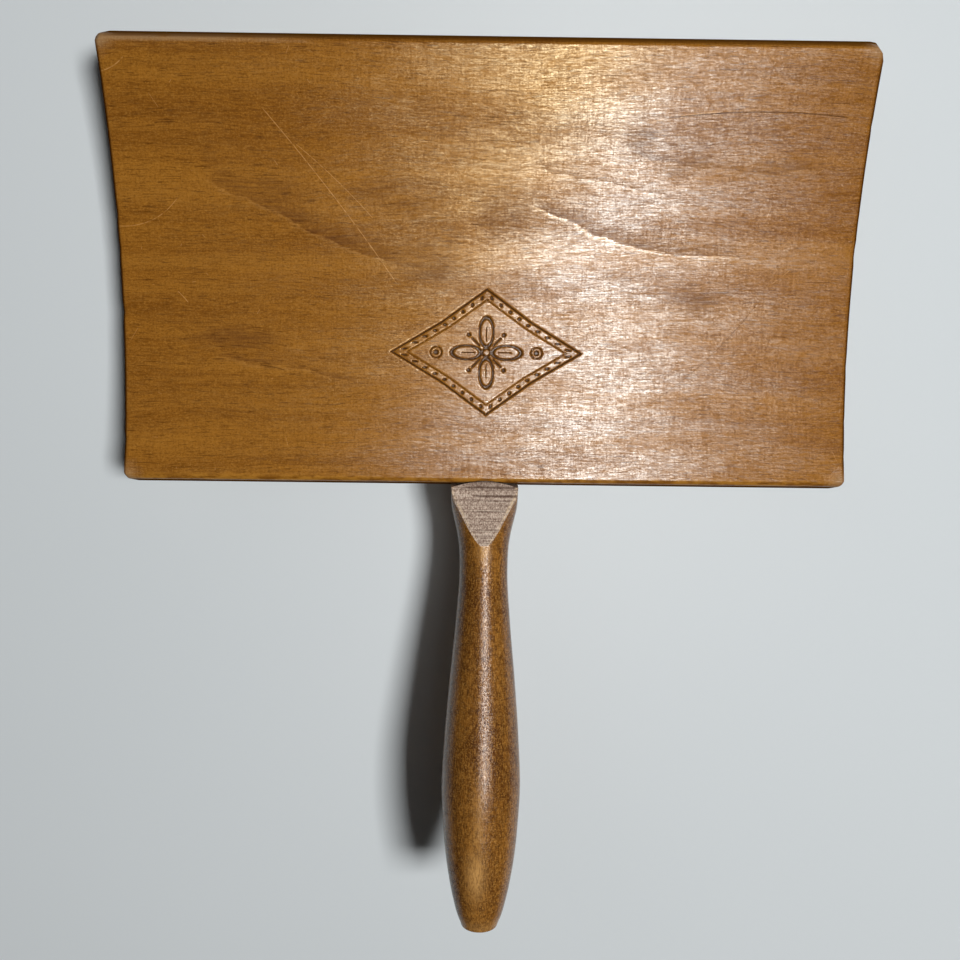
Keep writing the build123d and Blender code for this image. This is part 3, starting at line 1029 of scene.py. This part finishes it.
def tube(path, radius, sides, tip):
    """A wire along the path: vertices as an array, and faces. tip narrows both of its ends."""
    rings, direction = [], (path[1] - path[0]).normalized()
    side = direction.orthogonal().normalized()
    for i, point in enumerate(path):
        ahead = (path[min(i + 1, len(path) - 1)] - path[max(i - 1, 0)]).normalized()
        side = direction.rotation_difference(ahead) @ side
        direction = ahead
        other = direction.cross(side)
        size = radius * (tip if i in (0, len(path) - 1) else 1)
        for k in range(sides):
            angle = 2 * math.pi * k / sides
            rings.append(point + (side * math.cos(angle) + other * math.sin(angle)) * size)
    ends = [list(range(sides))[::-1], [len(rings) - sides + k for k in range(sides)]]
    return np.array([tuple(v) for v in rings]), ends + ring_quads(len(path), sides)


def on_card(points, angle, x):
    """Moves points from straight below the arc axis, given as (across, lean to the heel, radius),
    to an angle about that axis, positive towards the heel, and to a place along the width."""
    across, lean, radius = points.T
    turn_sin, turn_cos = math.sin(angle), math.cos(angle)
    y = BOARD_Y - lean * turn_cos - radius * turn_sin
    z = ARC_Z + lean * turn_sin - radius * turn_cos
    return np.stack([across + x, y, z], axis=-1)


ROW_COUNT = 34
TEETH_PER_ROW = 60
ROW_PITCH = 3.2 * MM
TOOTH_PITCH = 3.4 * MM
KNEE_HEIGHT = 3.1 * MM
KNEE_LEAN = -1.1 * MM
TIP_LEAN = 1.0 * MM
TIP_EASE = 0.12 * MM
FIRST_ROW = -ROW_PITCH / FABRIC_RADIUS * (ROW_COUNT - 1) / 2
ROW_HALF_LENGTH = (TEETH_PER_ROW - 1) * TOOTH_PITCH / 2


def make_teeth(metal):
    """A piece for each row: two-pointed wires with knees and a crown behind the foundation."""
    draw = random.Random(5)
    crown, knee = FRONT_RADIUS + WIRE / 2, FACE_RADIUS + KNEE_HEIGHT
    tip = TIP_RADIUS - TIP_EASE
    for row in range(ROW_COUNT):
        angle = FIRST_ROW + row * ROW_PITCH / FABRIC_RADIUS
        shift = TOOTH_PITCH / 4 * (1 if row % 2 else -1)
        vertices, faces = [], []
        for pair in range(TEETH_PER_ROW // 2):
            left = shift + pair * 2 * TOOTH_PITCH - ROW_HALF_LENGTH
            side0, lean0, side1, lean1 = [draw.gauss(0, 0.07) * MM for _ in range(4)]
            corners = [
                (side0, TIP_LEAN + lean0, tip),
                (side0 / 3, KNEE_LEAN + lean0 / 3, knee),
                (0, 0, crown),
                (TOOTH_PITCH, 0, crown),
                (TOOTH_PITCH + side1 / 3, KNEE_LEAN + lean1 / 3, knee),
                (TOOTH_PITCH + side1, TIP_LEAN + lean1, tip),
            ]
            path = bent_path(corners, [0.8 * MM, 0.3 * MM, 0.3 * MM, 0.8 * MM], steps=3)
            points, wire_faces = tube(path, WIRE / 2, sides=6, tip=0.55)
            append_wire(vertices, faces, on_card(points, angle, left), wire_faces)
        piece = make_object(f"teeth_row_{row + 1:02d}", vertices, faces, [metal], sharp_degrees=60)
        stand_for(piece, "tooth_wire", f"tooth_row_{row + 1:02d}")


STAPLE_CROWN = 9 * MM
STAPLE_WIRE = 0.8 * MM
STAPLE_LEG_IN_WOOD = 3.5 * MM
STAPLES_ACROSS = 7
STAPLES_DOWN = 4


def make_staples(metal):
    """The fixing staples round the clothing's margin, one piece for each side of the card."""
    draw = random.Random(3)
    half = (STAPLE_CROWN - STAPLE_WIRE) / 2
    on_face, in_wood = FACE_RADIUS + STAPLE_WIRE * 0.55, FRONT_RADIUS - STAPLE_LEG_IN_WOOD
    corners = [(-half, 0, in_wood), (-half, 0, on_face), (half, 0, on_face), (half, 0, in_wood)]
    path = bent_path(corners, [0.7 * MM, 0.7 * MM], steps=4)
    points, wire_faces = tube(path, STAPLE_WIRE / 2, sides=10, tip=0.3)
    for side in ("toe", "heel", "left", "right"):
        low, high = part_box(f"staples_{side}")
        middle, down = (low + high) / 2, side in ("left", "right")
        vertices, faces = [], []
        count = STAPLES_DOWN if down else STAPLES_ACROSS
        for i in range(count):
            share = i / (count - 1) - 0.5
            if down:
                reach = math.asin((high.y - low.y - STAPLE_CROWN) / 2 / FACE_RADIUS)
                x, angle, turn = middle.x, share * 2 * reach, math.pi / 2
            else:
                span = high.x - low.x - STAPLE_CROWN
                heel = 1 if side == "heel" else -1
                edge = abs(high.y - BOARD_Y if heel < 0 else BOARD_Y - low.y)
                x, turn = middle.x + share * span, 0.0
                angle = heel * math.asin((edge - STAPLE_WIRE / 2) / FACE_RADIUS)
            turn += draw.gauss(0, 0.03)
            across, lean = turned(points[:, 0], points[:, 1], -turn)
            placed = on_card(np.stack([across, lean, points[:, 2]], axis=-1), angle, x)
            append_wire(vertices, faces, placed, wire_faces)
        piece = make_object(f"fixing_staples_{side}", vertices, faces, [metal], sharp_degrees=60)
        stand_for(piece, "staple_wire", f"staples_{side}")


# ---- scene

FLOOR_SIZE = 1.2
BOARD_CENTRE = Vector((0, BOARD_Y, CHORD_Z))


def make_floor():
    """A pale floor under the tooth tips."""
    half = FLOOR_SIZE / 2
    corners = [(-half, -half, 0), (half, -half, 0), (half, half, 0), (-half, half, 0)]
    floor = make_object("floor", corners, [[0, 1, 2, 3]], [floor_paint()])


def make_light(name, place, size, power, shine):
    """A soft light that faces the board's centre. Its size is its reach along X and along Y. With
    shine it is seen only in reflections, and without it the light is not reflected."""
    lamp = bpy.data.lights.new(name, "AREA")
    lamp.shape, lamp.energy, lamp.color = "RECTANGLE", power, (1, 0.99, 0.97)
    lamp.size, lamp.size_y = size
    holder = in_scene(name, lamp)
    holder.location = BOARD_CENTRE + Vector(place)
    away = Vector(place).normalized()
    across = Vector((0, 1, 0)).cross(away).normalized()
    holder.rotation_euler = Matrix((across, away.cross(across), away)).transposed().to_euler()
    holder.visible_glossy, holder.visible_diffuse = shine, not shine


def make_camera():
    """The photograph's viewpoint, above the board and looking down towards the handle."""
    lens = bpy.data.cameras.new("camera")
    lens.sensor_width = lens.lens = 36
    camera = in_scene("camera", lens)
    camera.location = BOARD_CENTRE + Vector((-3.0, 0.3, 288.2)) * MM
    turn = (
        Matrix.Rotation(math.radians(-0.75), 3, "Z")
        @ Matrix.Rotation(math.radians(12.34), 3, "X")
        @ Matrix.Rotation(math.radians(0.31), 3, "Y")
    )
    camera.rotation_euler = turn.transposed().to_euler()
    bpy.context.scene.camera = camera


make_board(board_wood())
make_handle(handle_wood(), raw_wood())
make_plate("fabric", "fabric", FABRIC_RADIUS, RUBBER_RADIUS, 3, woven_fabric(), 1)
make_plate("rubber_face", "rubber", RUBBER_RADIUS, FACE_RADIUS, 1, rubber_face(), 2)
make_teeth(wire_metal("tooth_wire", (168, 168, 166), (120, 116, 110), 0.34))
make_staples(wire_metal("staple_wire", (190, 188, 182), (150, 146, 138), 0.4))

make_floor()
make_light("glare", (0.088, 0.0, 0.48), (0.11, 0.46), 1.7, shine=True)
make_light("sheen", (0.090, 0.0, 0.48), (0.30, 0.46), 0.7, shine=True)
make_light("key", (0.6, 0.1, 1.42), (0.34, 0.34), 23.5, shine=False)
make_light("fill", (-1.0, 0.8, 1.2), (1.0, 1.0), 1.0, shine=False)

# Beyond the floor the backdrop is as pale as the floor, and it casts no light of its own
world = bpy.data.worlds.new("studio")
world.use_nodes = True
world.node_tree.nodes["Background"].inputs["Color"].default_value = srgb(200, 206, 208)
world.cycles_visibility.diffuse = world.cycles_visibility.glossy = False
bpy.context.scene.world = world
bpy.context.scene.view_settings.view_transform = "Standard"

make_camera()
